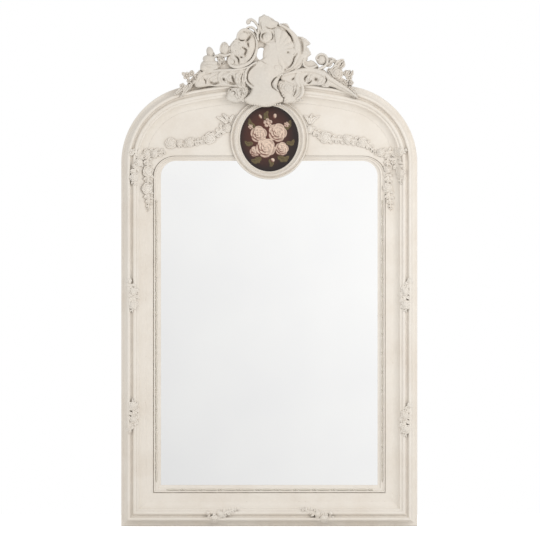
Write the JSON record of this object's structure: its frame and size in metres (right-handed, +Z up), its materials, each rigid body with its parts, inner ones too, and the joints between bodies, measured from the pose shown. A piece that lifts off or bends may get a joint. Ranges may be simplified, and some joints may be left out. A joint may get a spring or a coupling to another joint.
{
  "type": "trumeau mirror",
  "caption": "Tall arched wall mirror in distressed cream paint, with an oval picture medallion, flower festoons and an asymmetric carved rococo crest.",
  "frame": {"origin": "on the wall plane, at the middle of the frame's bottom edge", "axes": "+Z up, +Y into the wall (the front faces -Y), +X to the viewer's right"},
  "size_m": [1.1, 0.106, 1.8998],
  "materials": {
    "cream_paint": "distressed cream paint on carved wood",
    "bare_pine": "bare aged pine",
    "back_board": "raw sawn board",
    "mirror_glass": "silvered plate glass",
    "setting_block": "matt",
    "felt_pad": "grey felt",
    "picture_paint": "oil paint on panel",
    "hanger_steel": "zinc plated",
    "screw_steel": "dull steel"
  },
  "bodies": {
    "frame": {"backboard_lower": "back_board", "backboard_middle": "back_board", "backboard_upper": "back_board", "bottom_rail": "bare_pine", "bottom_spray_left": "cream_paint", "bottom_spray_right": "cream_paint", "corner_spray_left": "cream_paint", "corner_spray_right": "cream_paint", "crest_batten": "bare_pine", "crest_cartouche": "cream_paint", "crest_core": "cream_paint", "crest_foliage_left": "cream_paint", "crest_foliage_right": "cream_paint", "crest_plume": "cream_paint", "crest_roses_left": "cream_paint", "crest_roses_right": "cream_paint", "crest_scroll_left": "cream_paint", "crest_shell": "cream_paint", "crest_wing_left": "cream_paint", "crest_wing_right": "cream_paint", "festoon_left": "cream_paint", "festoon_right": "cream_paint", "frieze_bottom": "cream_paint", "frieze_left": "cream_paint", "frieze_right": "cream_paint", "glazing_pads": "felt_pad", "hanger_strap_left": "hanger_steel", "hanger_strap_right": "hanger_steel", "head_board": "bare_pine", "lap_pegs": "bare_pine", "medallion_backing": "back_board", "medallion_panel": "picture_paint", "medallion_ring": "cream_paint", "mirror_plate": "mirror_glass", "moulding_arch_crown": "cream_paint", "moulding_arch_left": "cream_paint", "moulding_arch_right": "cream_paint", "moulding_bottom": "cream_paint", "moulding_left": "cream_paint", "moulding_right": "cream_paint", "pearls_bottom": "cream_paint", "pearls_left": "cream_paint", "pearls_right": "cream_paint", "screws": "screw_steel", "setting_blocks": "setting_block", "side_spray_left_lower": "cream_paint", "side_spray_left_upper": "cream_paint", "side_spray_right_lower": "cream_paint", "side_spray_right_upper": "cream_paint", "sight_bottom": "cream_paint", "sight_left": "cream_paint", "sight_right": "cream_paint", "sight_top_left": "cream_paint", "sight_top_right": "cream_paint", "spandrel_left": "cream_paint", "spandrel_right": "cream_paint", "stile_left": "bare_pine", "stile_right": "bare_pine"},
    "ring_left": {"hanger_ring_left": "hanger_steel"},
    "ring_right": {"hanger_ring_right": "hanger_steel"}
  },
  "joints": [
    {"name": "ring_left_swing", "type": "hinge", "parent": "frame", "child": "ring_left", "pos_m": [-0.4825, -0.0062, 1.23], "axis": [1, 0, 0], "range_deg": [0, 180]},
    {"name": "ring_right_swing", "type": "hinge", "parent": "frame", "child": "ring_right", "pos_m": [0.4825, -0.0062, 1.23], "axis": [1, 0, 0], "range_deg": [0, 180]}
  ]
}
